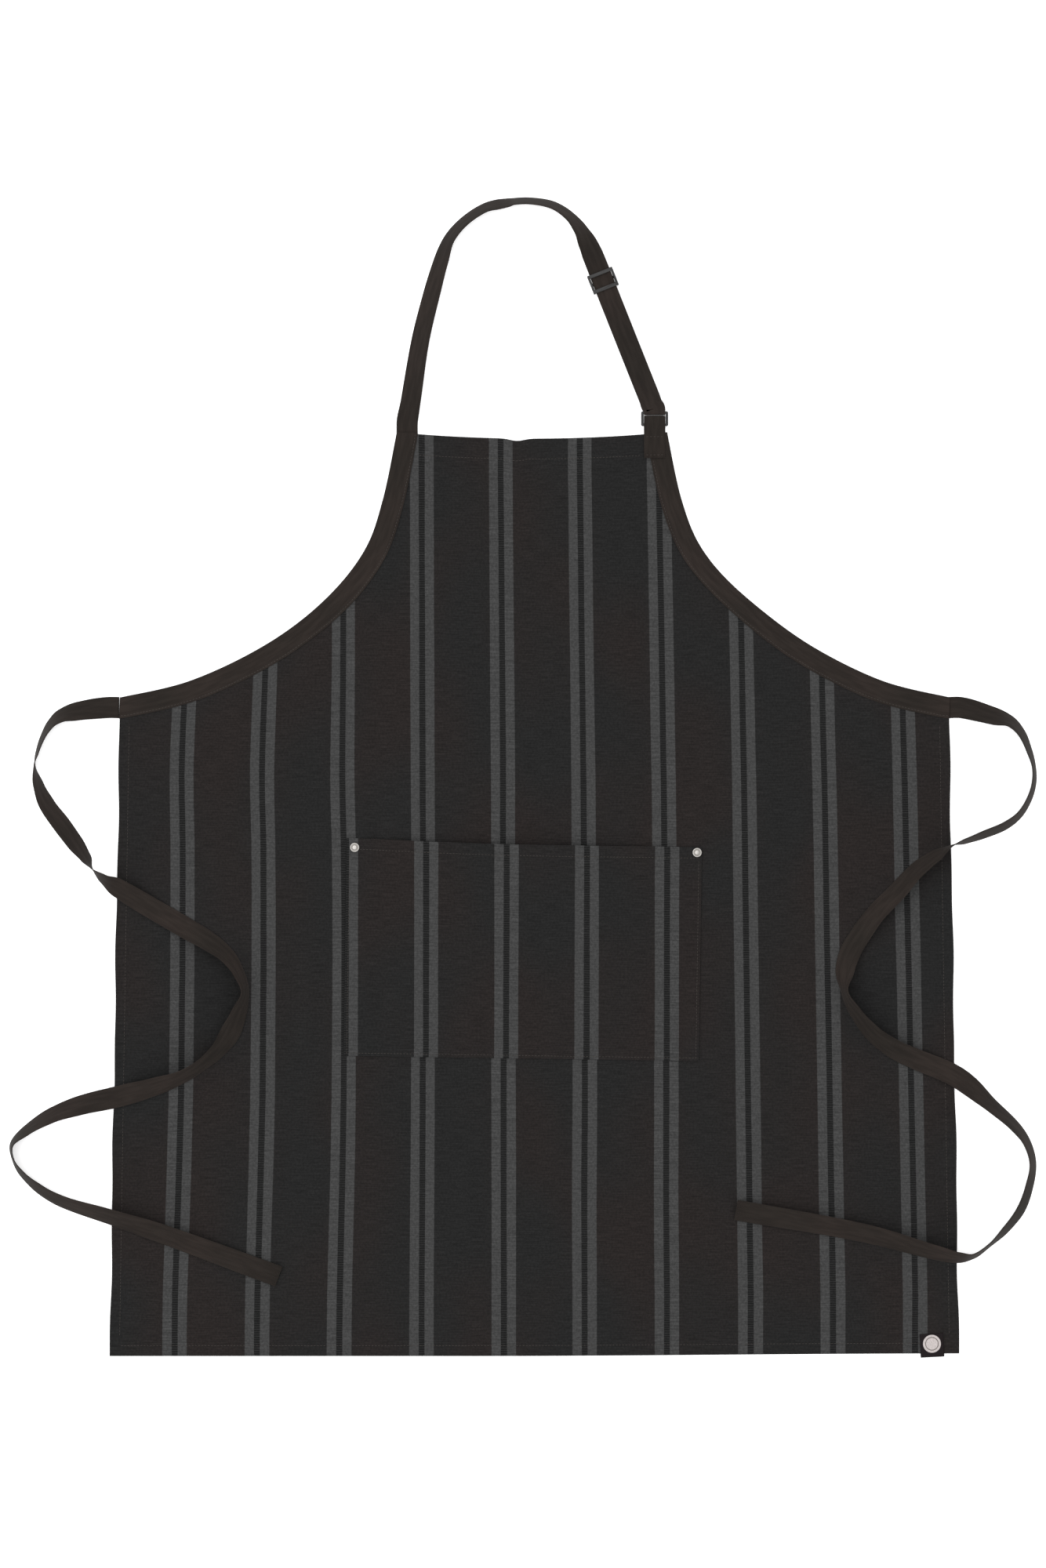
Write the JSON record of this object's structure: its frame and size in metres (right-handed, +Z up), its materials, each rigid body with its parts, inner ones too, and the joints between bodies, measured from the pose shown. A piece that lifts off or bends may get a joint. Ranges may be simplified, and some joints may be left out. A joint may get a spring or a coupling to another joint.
{
  "type": "bib apron",
  "caption": "Striped canvas bib apron laid flat: bound armholes, adjustable neck loop with slider and ring, riveted patch pocket, hem label and loose waist ties",
  "frame": {"origin": "on the surface that the apron lies on, under the middle of everything but the two loose ties", "axes": "+X across the apron, toward the side with the slider and the label; +Y from the hem toward the bib; +Z up out of the surface, toward the front of the apron"},
  "size_m": [0.9625, 1.09, 0.0228],
  "materials": {
    "striped_cloth": "matt charcoal canvas with pairs of light grey woven stripes",
    "tape": "matt black-brown twill tape",
    "plastic": "black moulded plastic",
    "rivet_metal": "polished nickel plate",
    "label": "black woven label with a plain silver-grey disc",
    "thread": "dark grey sewing thread"
  },
  "bodies": {
    "apron": {"body_panel": "striped_cloth", "pocket_panel": "striped_cloth", "left_armhole_binding": "tape", "right_armhole_binding": "tape", "ring_tab": "tape", "left_tie": "tape", "right_tie": "tape", "left_rivet_cap": "rivet_metal", "left_rivet_post": "rivet_metal", "right_rivet_cap": "rivet_metal", "right_rivet_post": "rivet_metal", "hem_label": "label", "bib_hem_stitching": "thread", "bottom_hem_stitching": "thread", "left_side_stitching": "thread", "right_side_stitching": "thread", "left_binding_stitching": "thread", "right_binding_stitching": "thread", "pocket_stitching": "thread", "pocket_hem_stitching": "thread", "tab_stitching": "thread"},
    "neck_loop": {"neck_strap": "tape", "neck_strap_return": "tape", "ring": "plastic"},
    "slider": {"slider_frame": "plastic", "strap_end_loop": "tape"}
  },
  "joints": [
    {"name": "neck_loop_fold", "type": "hinge", "parent": "apron", "child": "neck_loop", "pos_m": [0, 0.33094, 0.0027], "axis": [1, 0, 0], "range_deg": [0, 150]},
    {"name": "slider_slide", "type": "slide", "parent": "neck_loop", "child": "slider", "axis": [0.3692, -0.9294, 0], "range_m": [0, 0.085], "deforming": ["neck_strap_return"]}
  ]
}
